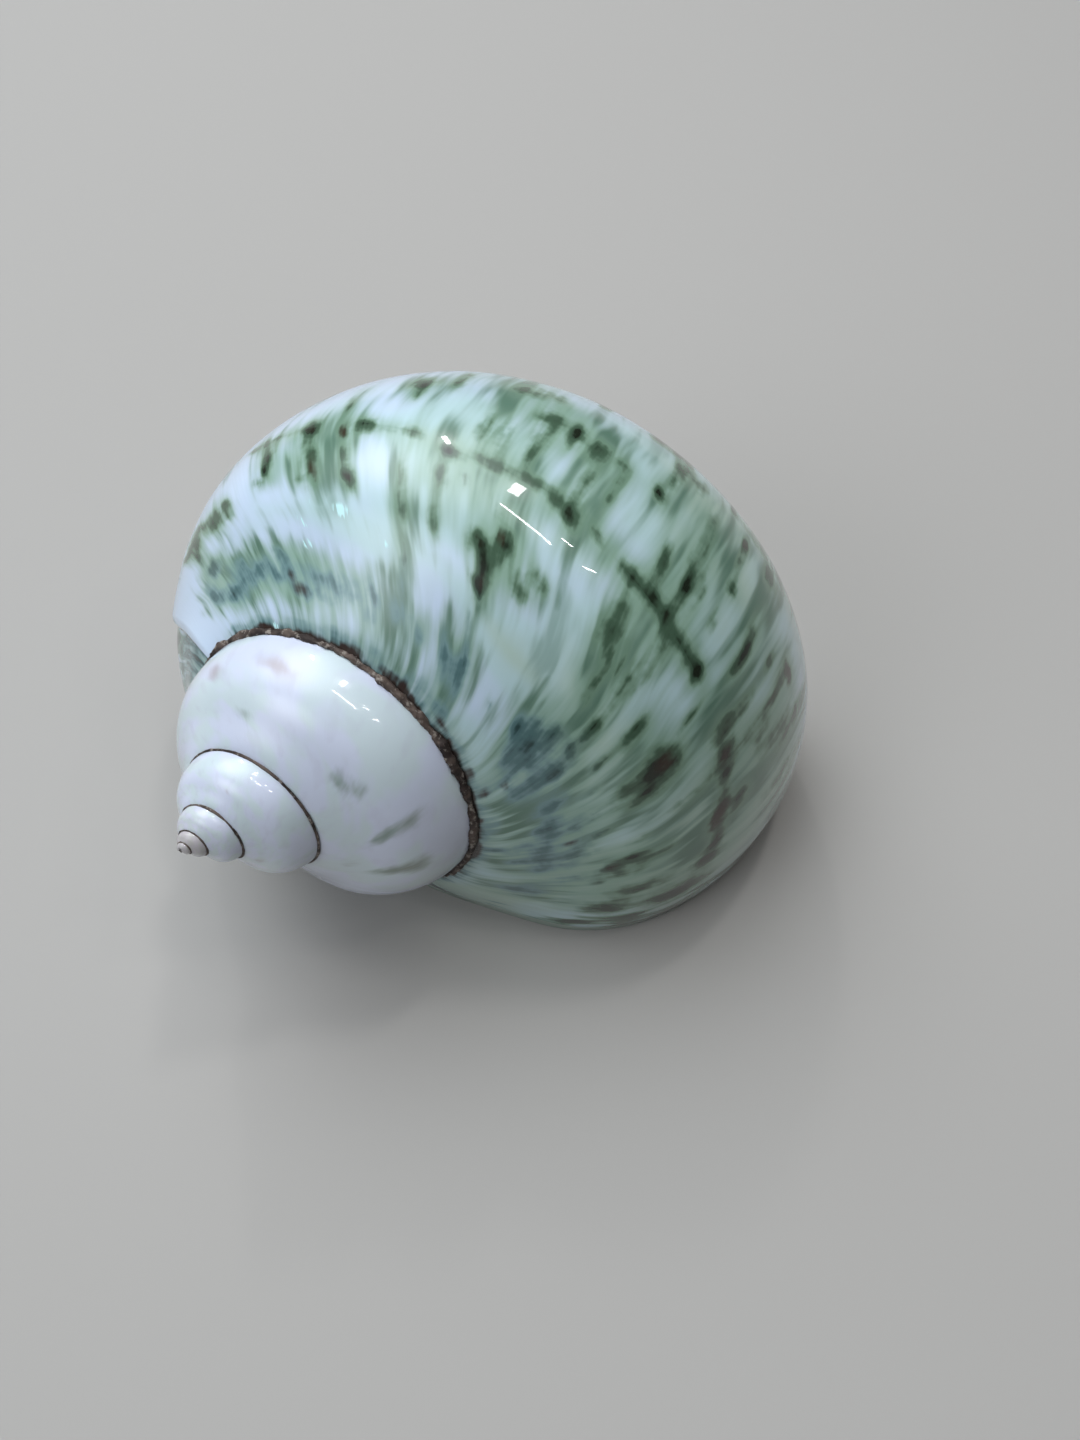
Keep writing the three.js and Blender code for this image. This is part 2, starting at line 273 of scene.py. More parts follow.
RIGHT_FLANK = (
    (-0.250, -50, 6, 0.003, 0.75, 0), (-0.265, -41, 9, 0.004, 0.5, 0), (-0.270, -25, 8, 0.007, 0.6, 0),
    (-0.258, -33, 4, 0.002, 0.6, 0), (-0.250, -33, 10, 0.003, 0.55, 0), (-0.244, -24, 8, 0.003, 0.5, 0),
    (-0.230, -52, 5, 0.003, 0.6, 0), (-0.228, -40, 3, 0.005, 0.5, 0), (-0.228, -34, 3, 0.003, 0.75, 0),
    (-0.202, -45, 7, 0.006, 0.6, 0), (-0.201, -36, 4, 0.008, 0.85, 0.1), (-0.203, -31, 3, 0.007, 1, 1),
    (-0.198, -27, 3, 0.006, 0.7, 0.2), (-0.193, -39, 5, 0.003, 0.65, 0), (-0.211, -20, 5, 0.002, 0.55, 0),
    (-0.175, -27, 8, 0.004, 0.4, 0), (-0.168, -44, 5, 0.004, 0.4, 0), (-0.218, -62, 6, 0.004, 0.4, 0),
    (-0.150, -52, 4, 0.006, 0.85, 0.7), (-0.135, -55, 3, 0.003, 0.8, 0), (-0.152, -44, 5, 0.005, 0.75, 0),
    (-0.140, -44, 8, 0.003, 0.75, 0), (-0.150, -36, 5, 0.004, 0.6, 0), (-0.120, -38, 8, 0.006, 0.8, 0.2),
    (-0.100, -46, 8, 0.010, 0.85, 0.2), (-0.098, -24, 8, 0.008, 0.85, 0.3), (-0.185, -58, 6, 0.005, 0.4, 0),
)
SPIRAL_DASHES = (
    (-0.490, -15, 2, 0.014, 0.55, 0), (-0.455, -14, 3, 0.007, 0.8, 0.4), (-0.433, -17, 4, 0.004, 0.6, 1),
    (-0.422, -14, 3, 0.006, 0.85, 0.1), (-0.398, -14, 2, 0.009, 0.6, 0), (-0.372, -15, 2, 0.006, 0.7, 0.2),
    (-0.348, -13, 2, 0.008, 0.7, 0), (-0.325, -12, 2, 0.010, 0.65, 0), (-0.310, -12, 3, 0.006, 0.95, 0),
    (-0.295, -12, 2, 0.004, 0.7, 0), (-0.275, -13, 2, 0.006, 0.9, 0), (-0.262, -13, 2, 0.007, 0.9, 0.1),
    (-0.248, -13, 3, 0.006, 0.9, 0.5), (-0.236, -13, 2, 0.008, 0.8, 0.2), (-0.223, -13, 2, 0.006, 0.95, 0.2),
    (-0.190, -13, 3, 0.005, 0.9, 0.1), (-0.178, -13, 3, 0.006, 1, 0.8), (-0.168, -14, 2, 0.004, 0.8, 0.1),
    (-0.155, -15, 2, 0.006, 0.8, 0.6), (-0.146, -16, 4, 0.007, 0.6, 1), (-0.132, -16, 2, 0.007, 0.8, 0.5),
    (-0.119, -17, 4, 0.006, 1, 0.6),
)
UNDER_FLANK = (
    (-0.437, -5, 6, 0.003, 0.4, 0), (-0.400, 4, 4, 0.002, 0.6, 0), (-0.402, 10, 3, 0.005, 0.85, 0),
    (-0.385, 15, 7, 0.004, 0.45, 0), (-0.362, -3, 6, 0.003, 0.45, 0), (-0.352, -3, 6, 0.004, 0.45, 0),
    (-0.338, -2, 7, 0.003, 0.6, 0), (-0.334, 5, 4, 0.003, 0.55, 0), (-0.337, 11, 3, 0.006, 0.8, 0),
    (-0.324, 9, 5, 0.003, 0.7, 0), (-0.322, 12, 3, 0.003, 0.75, 0), (-0.310, -3, 5, 0.003, 0.55, 0),
    (-0.310, 10, 4, 0.006, 0.6, 0), (-0.298, 0, 5, 0.003, 0.45, 0), (-0.298, 11, 4, 0.004, 0.5, 0),
    (-0.345, 22, 5, 0.008, 0.6, 0), (-0.356, 20, 4, 0.008, 0.5, 0), (-0.264, -4, 6, 0.003, 0.85, 0),
    (-0.249, -4, 8, 0.003, 0.85, 0), (-0.243, 0, 6, 0.003, 0.45, 0), (-0.229, -1, 3, 0.002, 0.6, 0),
    (-0.227, 10, 2, 0.003, 0.8, 0), (-0.229, 19, 7, 0.002, 0.5, 0), (-0.229, 26, 3, 0.002, 0.6, 0.7),
    (-0.207, 5, 7, 0.003, 0.85, 0), (-0.205, 0, 4, 0.003, 0.8, 0), (-0.206, 30, 4, 0.005, 0.8, 0),
    (-0.189, -7, 6, 0.004, 0.7, 0), (-0.188, 11, 3, 0.003, 0.6, 0), (-0.174, -4, 8, 0.003, 0.55, 0),
    (-0.174, 8, 5, 0.002, 0.7, 0.8), (-0.176, 12, 3, 0.003, 0.6, 0), (-0.173, 17, 2, 0.006, 0.6, 0.9),
    (-0.166, 0, 4, 0.004, 0.5, 0), (-0.156, 8, 8, 0.004, 0.65, 0), (-0.147, 10, 6, 0.004, 0.7, 0),
    (-0.146, -9, 3, 0.005, 0.7, 0), (-0.150, 17, 2, 0.006, 0.5, 0.6), (-0.278, 12, 2, 0.004, 0.85, 0),
    (-0.275, 25, 7, 0.003, 0.7, 0), (-0.270, 30, 5, 0.003, 0.6, 0), (-0.250, 16, 14, 0.004, 0.4, 0),
    (-0.262, 30, 5, 0.004, 0.5, 0), (-0.128, 8, 8, 0.005, 0.6, 0.2),
)
SUTURE_DABS = (
    (-0.480, -102, 1.5, 0.015, 0.5, 0.7), (-0.440, -101, 2.0, 0.014, 0.6, 1),
    (-0.403, -101, 2.0, 0.012, 0.6, 1), (-0.385, -101, 2.5, 0.008, 0.6, 1),
    (-0.340, -100, 2.0, 0.010, 0.6, 1), (-0.310, -102, 1.5, 0.010, 0.5, 0.9),
    (-0.288, -101, 2.0, 0.010, 0.5, 1), (-0.262, -99, 2.5, 0.007, 0.6, 0.9),
    (-0.240, -103, 1.5, 0.010, 0.5, 0.8), (-0.205, -103, 1.5, 0.010, 0.5, 0.7),
    (-0.570, -102, 1.5, 0.016, 0.6, 0.1), (-0.530, -103, 1.5, 0.02, 0.5, 0.5),
    (-0.460, -98, 2.0, 0.012, 0.45, 0), (-0.420, -97, 3.0, 0.008, 0.5, 0),
    (-0.375, -96, 4.0, 0.008, 0.45, 0), (-0.500, -99, 1.5, 0.020, 0.4, 0),
    (-0.350, -97, 2.0, 0.012, 0.5, 0), (-0.225, -99, 3.0, 0.012, 0.5, 0.2),
)
MARKS = SHOULDER_BAND + UPPER_BACK + RIGHT_FLANK + SPIRAL_DASHES + UNDER_FLANK + SUTURE_DABS
WASHES = (
    (-0.560, -76, 14, 0.030, 0.5), (-0.505, -79, 12, 0.040, 0.6), (-0.455, -80, 10, 0.030, 0.5),
    (-0.470, -28, 14, 0.020, 0.5), (-0.440, -26, 12, 0.015, 0.4), (-0.545, -42, 10, 0.015, 0.4),
    (-0.575, -48, 12, 0.012, 0.4), (-0.400, -55, 25, 0.008, 0.5), (-0.385, -22, 15, 0.020, 0.4),
    (-0.385, -83, 12, 0.012, 0.4), (-0.352, -80, 14, 0.015, 0.5), (-0.335, -38, 14, 0.020, 0.5),
    (-0.350, -20, 12, 0.030, 0.4), (-0.330, 12, 12, 0.030, 0.5), (-0.350, 20, 12, 0.020, 0.5),
    (-0.300, 6, 18, 0.020, 0.4), (-0.265, -38, 20, 0.016, 0.6), (-0.255, -8, 18, 0.018, 0.5),
    (-0.268, -76, 14, 0.025, 0.6), (-0.245, 20, 20, 0.018, 0.4), (-0.225, -35, 22, 0.010, 0.4),
    (-0.205, 5, 18, 0.012, 0.6), (-0.190, -78, 16, 0.030, 0.5), (-0.200, -40, 16, 0.012, 0.5),
    (-0.172, 4, 20, 0.016, 0.5), (-0.150, 8, 18, 0.016, 0.6), (-0.150, -46, 18, 0.015, 0.5),
    (-0.120, -42, 22, 0.020, 0.6), (-0.120, -80, 20, 0.030, 0.5), (-0.122, 2, 20, 0.018, 0.5),
    (-0.420, 4, 14, 0.030, 0.3), (-0.300, -18, 8, 0.040, 0.3),
)
# Spots where the polish has cut through to the nacre. Their bright cyan colour is a painted glint, the
# nacre's play of light put into the base colour.
NACRE_GLINT_SPOTS = (
    (-0.472, -65, 3, 0.005, 1), (-0.469, -55, 3, 0.004, 1), (-0.445, -74, 2, 0.002, 0.8),
    (-0.436, -48, 3, 0.006, 1), (-0.456, -47, 2, 0.003, 0.8), (-0.410, -55, 2, 0.003, 0.8),
    (-0.532, -102, 2, 0.005, 1),
)
OLDER_MARKS = (
    (-0.664, -82, 20, 0.010, 0.75, 0), (-0.682, -72, 18, 0.012, 0.65, 0), (-0.705, -80, 20, 0.014, 0.6, 0),
    (-0.655, -95, 6, 0.006, 0.7, 0.5), (-0.735, -66, 20, 0.016, 0.6, 0), (-0.690, -97, 6, 0.010, 0.5, 0),
)
MARKED_AGES = (-0.65, -0.10)
MARKED_ANGLES = (-110, 32)

# %% Marks of the spire
SPIRE_MARKS = (
    (-1.401, -19, 8, 0.022, 0, 0.9), (-1.496, -28, 8, 0.014, 0, 0.8), (-1.460, -68, 9, 0.020, 0.5, 0),
    (-1.290, -64, 10, 0.018, 0.8, 0.1), (-1.262, -54, 9, 0.014, 0.6, 0), (-1.190, -50, 16, 0.010, 1.0, 0.1),
    (-1.186, -30, 10, 0.010, 0.8, 0.3), (-1.123, -48, 16, 0.010, 1.0, 0.3),
    (-1.120, -30, 10, 0.012, 0.9, 0.4), (-2.383, -53, 5, 0.010, 0, 0.5), (-1.150, -80, 8, 0.014, 0.4, 0.2),
    (-2.130, -78, 10, 0.02, 0.2, 0.5),
)


def rings_by_age(bm):
    """The vertices of each growth ring, under the ring's age."""
    age_layer = bm.verts.layers.float["age"]
    rings = {}
    for vert in bm.verts:
        rings.setdefault(round(vert[age_layer], 5), []).append(vert)
    return rings


MARK_REACH = 2.8


def paint(bm, marks, layer_name, strength_index, swell=1.0, strength_factor=1.0):
    """Lays marks over the vertices in a named layer, each on top of the last, like thin paint.
    A mark fades out at MARK_REACH times its half width or half length."""
    around_layer = bm.verts.layers.float["around"]
    layer = bm.verts.layers.float.get(layer_name) or bm.verts.layers.float.new(layer_name)
    rings = rings_by_age(bm)
    for seed, mark in enumerate(marks):
        age, angle = mark[:2]
        half_length, half_width = mark[2] * swell, mark[3] * swell
        strength = mark[strength_index] * strength_factor
        if not strength:
            continue
        for ring_age, verts in rings.items():
            across = (ring_age - age) / half_width
            if abs(across) > MARK_REACH:
                continue
            for vert in verts:
                along = (vert[around_layer] - angle) / half_length
                if abs(along) > MARK_REACH:
                    continue
                rag = noise.noise(Vector((ring_age * 60, vert[around_layer] * 0.10, seed)))
                cover = strength * math.exp(-((across + 0.5 * rag) ** 2) - (along + 0.5 * rag) ** 2)
                vert[layer] = 1 - (1 - vert[layer]) * (1 - cover)


def stain_crevice(bm, ages):
    """The brown stain of the crust on the shell beside it, a little wider in some places."""
    age_layer = bm.verts.layers.float["age"]
    around_layer = bm.verts.layers.float["around"]
    green_layer = bm.verts.layers.float["green"]
    brown_layer = bm.verts.layers.float["brown"]
    for vert in bm.verts:
        age, around = vert[age_layer], vert[around_layer]
        if around > -92 or not ages[0] < age < ages[1]:
            continue
        wander = noise.noise(Vector((age * 30, 0, 8))) + 0.6 * noise.noise(Vector((age * 110, 0, 5)))
        edge = -102.2 + 3.2 * wander
        stain = 1.3 / (1 + math.exp((around - edge) / 0.45))
        halo = 0.7 / (1 + math.exp((around - edge - 3.0) / 1.1))
        vert[brown_layer] = max(vert[brown_layer], stain)
        vert[green_layer] = max(vert[green_layer], 0.5 * stain, 0.8 * halo)


def free_pattern(bm, skin_start=-9.0):
    """Where the material may make up its own marks, and where the coloured skin is still there."""
    age_layer = bm.verts.layers.float["age"]
    around_layer = bm.verts.layers.float["around"]
    free_layer = bm.verts.layers.float.new("free")
    skin_layer = bm.verts.layers.float.new("skin")
    for vert in bm.verts:
        age, around = vert[age_layer], vert[around_layer]
        outside_age = max(MARKED_AGES[0] - age, age - MARKED_AGES[1])
        outside_around = max(MARKED_ANGLES[0] - around, around - MARKED_ANGLES[1])
        outside = min(max(outside_age / 0.02, outside_around / 6), 1.0)
        lobe = math.exp(-(((age + 0.622) / 0.022) ** 2)) if age > SCAR_AGE else 0.0
        vert[free_layer] = max(outside, 0.0) - 1.4 * lobe
        vert[skin_layer] = min(max((age - skin_start) / 0.12, 0.0), 1.0)


print(len(MARKS), "marks on the last whorl,", len(SPIRE_MARKS), "on the spire")

# %% [markdown]
# ## Colours and gloss
# A polished turbo is wet-glossy over a white to pale mint ground with a blue and lilac cast. The fine
# pattern is made of thin streaks along the growth lines, so the noise is read in growth coordinates:
# age across and angle along, which are stored on the vertices. The streak group is built once and
# serves every shell material.

# %% Node helpers
def new_material(name):
    """An empty node material with one Principled shader."""
    material = bpy.data.materials.new(name)
    material.use_nodes = True
    tree = material.node_tree
    tree.nodes.clear()
    shader = tree.nodes.new("ShaderNodeBsdfPrincipled")
    output = tree.nodes.new("ShaderNodeOutputMaterial")
    tree.links.new(shader.outputs["BSDF"], output.inputs["Surface"])
    return material, tree, shader


def feed(tree, value, socket):
    """Links a socket, or sets a plain value."""
    if isinstance(value, bpy.types.NodeSocket):
        tree.links.new(value, socket)
    else:
        socket.default_value = value


def math_node(tree, operation, a, b=0.0):
    node = tree.nodes.new("ShaderNodeMath")
    node.operation = operation
    feed(tree, a, node.inputs[0])
    feed(tree, b, node.inputs[1])
    return node.outputs[0]


def mix_color(tree, share, a, b):
    node = tree.nodes.new("ShaderNodeMix")
    node.data_type = "RGBA"
    feed(tree, share, node.inputs["Factor"])
    feed(tree, a, node.inputs["A"])
    feed(tree, b, node.inputs["B"])
    return node.outputs["Result"]


def remap(tree, value, low, high, to_low=0.0, to_high=1.0):
    node = tree.nodes.new("ShaderNodeMapRange")
    node.interpolation_type = "SMOOTHSTEP"
    feed(tree, value, node.inputs["Value"])
    feed(tree, low, node.inputs["From Min"])
    feed(tree, high, node.inputs["From Max"])
    feed(tree, to_low, node.inputs["To Min"])
    feed(tree, to_high, node.inputs["To Max"])
    return node.outputs["Result"]


def attribute(tree, name):
    node = tree.nodes.new("ShaderNodeAttribute")
    node.attribute_name = name
    return node.outputs["Fac"]


def noise_node(tree, vector, scale, detail=3.0, roughness=0.5):
    node = tree.nodes.new("ShaderNodeTexNoise")
    feed(tree, vector, node.inputs["Vector"])
    feed(tree, scale, node.inputs["Scale"])
    feed(tree, detail, node.inputs["Detail"])
    feed(tree, roughness, node.inputs["Roughness"])
    return node.outputs["Fac"]


def combine(tree, x, y, z=0.0):
    node = tree.nodes.new("ShaderNodeCombineXYZ")
    feed(tree, x, node.inputs["X"])
    feed(tree, y, node.inputs["Y"])
    feed(tree, z, node.inputs["Z"])
    return node.outputs["Vector"]


def object_coordinates(tree):
    return tree.nodes.new("ShaderNodeTexCoord").outputs["Object"]


# %% [markdown]
# ## Streaks
# On the real shell a streak is a stretch of the rim that was coloured for a few days: a millimetre or
# two across the growth lines and a few centimetres along them. Noise read with a large factor across
# and a small one along gives that shape. It could be painted in each material, but a group with named
# inputs is built once, and the green shell, the white shell and the pearl each use it their own way.

# %% Streak group: fine marks along the growth lines
def make_streak_group():
    """Noise that is narrow across the growth lines and long along them."""
    group = bpy.data.node_groups.new("growth_streaks", "ShaderNodeTree")
    for name in ("Age", "Around", "Across", "Along", "Seed"):
        group.interface.new_socket(name, in_out="INPUT", socket_type="NodeSocketFloat")
    group.interface.new_socket("Streaks", in_out="OUTPUT", socket_type="NodeSocketFloat")
    source = group.nodes.new("NodeGroupInput").outputs
    output = group.nodes.new("NodeGroupOutput").inputs
    slow_around = math_node(group, "MULTIPLY", source["Around"], 0.008)
    wander = noise_node(group, combine(group, source["Age"], slow_around, source["Seed"]), 3.0, 1.0)
    bent = math_node(group, "ADD", source["Age"], math_node(group, "MULTIPLY", wander, 0.022))
    across = math_node(group, "MULTIPLY", bent, source["Across"])
    along = math_node(group, "MULTIPLY", source["Around"], source["Along"])
    streaks = noise_node(group, combine(group, across, along, source["Seed"]), 1.0, 2.0, 0.45)
    feed(group, streaks, output["Streaks"])
    return group


streak_group = make_streak_group()


def streaks(tree, across, along, seed):
    """One layer of growth streaks. Across is per turn and along is per degree."""
    node = tree.nodes.new("ShaderNodeGroup")
    node.node_tree = streak_group
    feed(tree, attribute(tree, "age"), node.inputs["Age"])
    feed(tree, attribute(tree, "around"), node.inputs["Around"])
    node.inputs["Across"].default_value = across
    node.inputs["Along"].default_value = along
    node.inputs["Seed"].default_value = seed
    return node.outputs["Streaks"]


def gloss(shader, roughness=0.22, coat=0.75):
    """The wet gloss of polished shell: a clear coat over a slightly milky body."""
    shader.inputs["Roughness"].default_value = roughness
    shader.inputs["Specular IOR Level"].default_value = 0.2
    shader.inputs["IOR"].default_value = 1.53
    shader.inputs["Coat Weight"].default_value = coat
    shader.inputs["Coat Roughness"].default_value = 0.03
    shader.inputs["Coat IOR"].default_value = 1.43
    shader.inputs["Subsurface Weight"].default_value = 0.05
    shader.inputs["Subsurface Radius"].default_value = (1.0, 1.0, 0.9)
    shader.inputs["Subsurface Scale"].default_value = 0.002


def growth_line_bump(tree, shader, strength):
    """Very fine growth lines that are felt more than seen."""
    bump = tree.nodes.new("ShaderNodeBump")
    bump.inputs["Strength"].default_value = strength
    bump.inputs["Distance"].default_value = 0.0002
    feed(tree, streaks(tree, 520.0, 0.02, 5.0), bump.inputs["Height"])
    feed(tree, bump.outputs["Normal"], shader.inputs["Normal"])


def ramp(tree, value, stops):
    """A colour ramp with soft stops, each a place and a colour."""
    node = tree.nodes.new("ShaderNodeValToRGB")
    node.color_ramp.interpolation = "EASE"
    elements = node.color_ramp.elements
    while len(elements) < len(stops):
        elements.new(0.5)
    for element, (position, color) in zip(elements, stops):
        element.position = position
        element.color = (*color, 1)
    feed(tree, value, node.inputs["Fac"])
    return node.outputs["Color"]


# %% [markdown]
# ## The green shell
# Three things lie over each other on the polished skin: a pale ground that turns from lilac to mint,
# soft sage washes, and dark mossy cores, teal near the suture and browner on the flank. The slow turn
# of the ground from light lilac on the older part to darker sage on the newer flank is painted light
# and shade. They are mixed in that order, as thin paints are. Each is a mask made of the listed marks
# and the streaks.

# %% Green shell
LILAC_WHITE = (0.60, 0.72, 0.88, 1)
MINT_WHITE = (0.52, 0.70, 0.73, 1)
SAGE_WHITE = (0.48, 0.63, 0.55, 1)
SAGE = (0.27, 0.42, 0.33, 1)
DEEP_SAGE = (0.085, 0.17, 0.12, 1)
SPIRE_WHITE = (0.66, 0.71, 0.85, 1)
RUST = (0.042, 0.014, 0.008, 1)
TEAL_STOPS = (
    (0.0, (0.38, 0.54, 0.55)),
    (0.35, (0.21, 0.34, 0.35)),
    (0.7, (0.095, 0.180, 0.185)),
    (1.0, (0.030, 0.064, 0.064)),
)
MOSS_STOPS = (
    (0.0, (0.38, 0.53, 0.42)),
    (0.35, (0.19, 0.31, 0.22)),
    (0.7, (0.062, 0.115, 0.072)),
    (1.0, (0.012, 0.019, 0.010)),
)
SPIRAL_BANDS = (-79, -50, -33, -14, 10, 30, 62, 96, 130)


def make_band_group():
    """Soft bands that run with the spiral, where the marks of the free pattern are darkest."""
    group = bpy.data.node_groups.new("spiral_bands", "ShaderNodeTree")
    group.interface.new_socket("Around", in_out="INPUT", socket_type="NodeSocketFloat")
    group.interface.new_socket("Bands", in_out="OUTPUT", socket_type="NodeSocketFloat")
    around = group.nodes.new("NodeGroupInput").outputs["Around"]
    output = group.nodes.new("NodeGroupOutput").inputs["Bands"]
    total = 0.0
    for angle in SPIRAL_BANDS:
        off = math_node(group, "DIVIDE", math_node(group, "SUBTRACT", around, angle), 5.0)
        fall = math_node(group, "ADD", math_node(group, "MULTIPLY", off, off), 1.0)
        total = math_node(group, "ADD", total, math_node(group, "DIVIDE", 1.0, fall))
    feed(group, total, output)
    return group


band_group = make_band_group()


def spiral_bands(tree):
    node = tree.nodes.new("ShaderNodeGroup")
    node.node_tree = band_group
    feed(tree, attribute(tree, "around"), node.inputs["Around"])
    return node.outputs["Bands"]


def sum_of(tree, *values):
    total = values[0]
    for value in values[1:]:
        total = math_node(tree, "ADD", total, value)
    return total


def scaled(tree, value, factor):
    return math_node(tree, "MULTIPLY", value, factor)


def green_shell_material():
    material, tree, shader = new_material("green_shell")
    wide = streaks(tree, 40.0, 0.018, 1.0)
    middle = streaks(tree, 120.0, 0.030, 2.0)
    fine = streaks(tree, 300.0, 0.06, 3.0)
    clouds = streaks(tree, 12.0, 0.03, 4.0)
    age = attribute(tree, "age")

    # The ground's clouds are tone at random. Its slow turn with age, light lilac on the older part and darker
    # sage on the newer flank, is painted light on the side that faces the lamps and painted shade on the side
    # turned away.
    tone_and_painted_shade = sum_of(tree, clouds, remap(tree, age, -0.62, -0.15, -0.22, 0.18))
    ground = mix_color(tree, remap(tree, tone_and_painted_shade, 0.36, 0.60), LILAC_WHITE, MINT_WHITE)
    ground = mix_color(tree, remap(tree, tone_and_painted_shade, 0.58, 0.80), ground, SAGE_WHITE)

    free = attribute(tree, "free")
    bands = spiral_bands(tree)
    own = sum_of(tree, scaled(tree, wide, 1.3), scaled(tree, middle, 0.8), scaled(tree, bands, 0.16), -1.0)
    own_wash = remap(tree, own, 0.0, 0.45)
    own_wash = math_node(tree, "MULTIPLY", own_wash, remap(tree, free, -0.8, 1.0, 0.0, 0.85))
    own_core = math_node(tree, "MULTIPLY", remap(tree, own, 0.10, 0.42), free)

    breakup = sum_of(tree, scaled(tree, middle, 1.1), scaled(tree, wide, 0.7), -0.95)
    placed_wash = attribute(tree, "wash")
    wash = sum_of(tree, placed_wash, math_node(tree, "MULTIPLY", breakup, remap(tree, placed_wash, 0.0, 0.3)))
    wash = math_node(tree, "MAXIMUM", wash, own_wash)
    specks = noise_node(tree, object_coordinates(tree), 330.0, 2.0, 0.5)
    grain = sum_of(tree, middle, scaled(tree, fine, 0.35), scaled(tree, specks, 0.6), -0.975)
    teal_thins = remap(tree, attribute(tree, "around"), -75.0, -45.0, 0.85, 1.2)
    placed = math_node(tree, "MULTIPLY", attribute(tree, "green"), teal_thins)
    core = sum_of(tree, placed, math_node(tree, "MULTIPLY", grain, remap(tree, placed, 0.0, 0.4, 0.0, 1.1)))
    core = math_node(tree, "MAXIMUM", core, own_core)
    dragged = math_node(tree, "MULTIPLY", wash, remap(tree, sum_of(tree, middle, wide), 0.85, 1.25))

    colour = mix_color(tree, remap(tree, wash, 0.0, 0.80, 0.0, 1.0), ground, SAGE)
    colour = mix_color(tree, remap(tree, dragged, 0.08, 0.75, 0.0, 0.85), colour, DEEP_SAGE)
    tealness = remap(tree, attribute(tree, "around"), -80.0, -45.0)
    tint = mix_color(tree, tealness, ramp(tree, core, TEAL_STOPS), ramp(tree, core, MOSS_STOPS))
    colour = mix_color(tree, remap(tree, core, 0.0, 0.55), colour, tint)
    brown = attribute(tree, "brown")
    brown = sum_of(tree, brown, math_node(tree, "MULTIPLY", grain, remap(tree, brown, 0.05, 0.3)))
    colour = mix_color(tree, remap(tree, brown, 0.2, 1.1, 0.0, 0.9), colour, RUST)
    # Painted glint: bright cyan on the nacre spots, standing in for their play of light.
    painted_nacre_glint = math_node(tree, "MULTIPLY", attribute(tree, "pearl"), remap(tree, fine, 0.44, 0.58))
    colour = mix_color(tree, remap(tree, painted_nacre_glint, 0.2, 0.6), colour, (0.62, 0.93, 0.95, 1))
    colour = mix_color(tree, attribute(tree, "skin"), SPIRE_WHITE, colour)
    feed(tree, colour, shader.inputs["Base Color"])
    gloss(shader)
    growth_line_bump(tree, shader, 0.10)
    return material


green_shell = green_shell_material()


# %% [markdown]
# ## The white shell
# The spire has lost its coloured skin, so its ground is white with a faint cloud of lilac and mint. A
# few stains are left, the ground beside each groove is darkened to brown, partly its own tint and
# partly painted shade of the groove, and the first whorls are worn. One material does all the
# whorls, because age and angle say where on the spire a point is.

# %% White shell of the spire
def white_shell_material():
    material, tree, shader = new_material("white_shell")
    clouds = streaks(tree, 14.0, 0.03, 4.0)
    middle = streaks(tree, 40.0, 0.05, 2.0)
    fine = streaks(tree, 200.0, 0.08, 3.0)
    ground = mix_color(tree, remap(tree, clouds, 0.42, 0.6), SPIRE_WHITE, (0.62, 0.72, 0.76, 1))
    ground = mix_color(tree, remap(tree, middle, 0.5, 0.7, 0.0, 0.18), ground, (0.50, 0.50, 0.62, 1))
    grain = sum_of(tree, scaled(tree, middle, 0.6), scaled(tree, fine, 0.6), -0.6)
    green = sum_of(tree, attribute(tree, "green"), scaled(tree, grain, 0.6))
    colour = mix_color(tree, remap(tree, green, 0.1, 1.1, 0.0, 0.9), ground, (0.20, 0.28, 0.22, 1))
    brown = sum_of(tree, attribute(tree, "brown"), scaled(tree, grain, 0.3))
    colour = mix_color(tree, remap(tree, brown, 0.0, 1.1, 0.0, 0.6), colour, (0.28, 0.17, 0.15, 1))
    # Beside the suture the white is darkened to brown: partly the brown tint near the suture, partly painted
    # shade of the groove.
    brown_tint_and_groove_shade = sum_of(tree, attribute(tree, "around"), scaled(tree, grain, 14.0))
    colour = mix_color(tree, remap(tree, brown_tint_and_groove_shade, -103.0, -110.0, 0.0, 0.7), colour, (0.20, 0.14, 0.12, 1))
    worn = remap(tree, attribute(tree, "age"), -4.4, -2.9, 0.6, 0.0)
    colour = mix_color(tree, worn, colour, (0.42, 0.33, 0.28, 1))
    feed(tree, colour, shader.inputs["Base Color"])
    gloss(shader, roughness=0.2)
    growth_line_bump(tree, shader, 0.08)
    return material


white_shell = white_shell_material()


# %% [markdown]
# ## Pearl, ground lip and crust
# Mother of pearl is a stack of very thin layers, so its colours come from thin film on the shader and
# not from paint. The ground lip shows the wall's layers, from green outside to cream inside, and so it
# reads the depth. The crust in the suture is never polished: it is rough, dark and gritty.

# %% Mother of pearl, ground lip and rough seam
def pearl_material():
    material, tree, shader = new_material("pearl")
    clouds = streaks(tree, 16.0, 0.02, 4.0)
    lines = streaks(tree, 240.0, 0.02, 6.0)
    colour = mix_color(tree, remap(tree, clouds, 0.40, 0.60), (0.80, 0.74, 0.72, 1), (0.64, 0.78, 0.76, 1))
    colour = mix_color(tree, remap(tree, lines, 0.38, 0.62, 0.0, 0.5), colour, (0.78, 0.78, 0.74, 1))
    feed(tree, colour, shader.inputs["Base Color"])
    gloss(shader, roughness=0.28)
    shader.inputs["Metallic"].default_value = 0.08
    shader.inputs["Thin Film Thickness"].default_value = 420
    shader.inputs["Thin Film IOR"].default_value = 1.6
    growth_line_bump(tree, shader, 0.2)
    return material


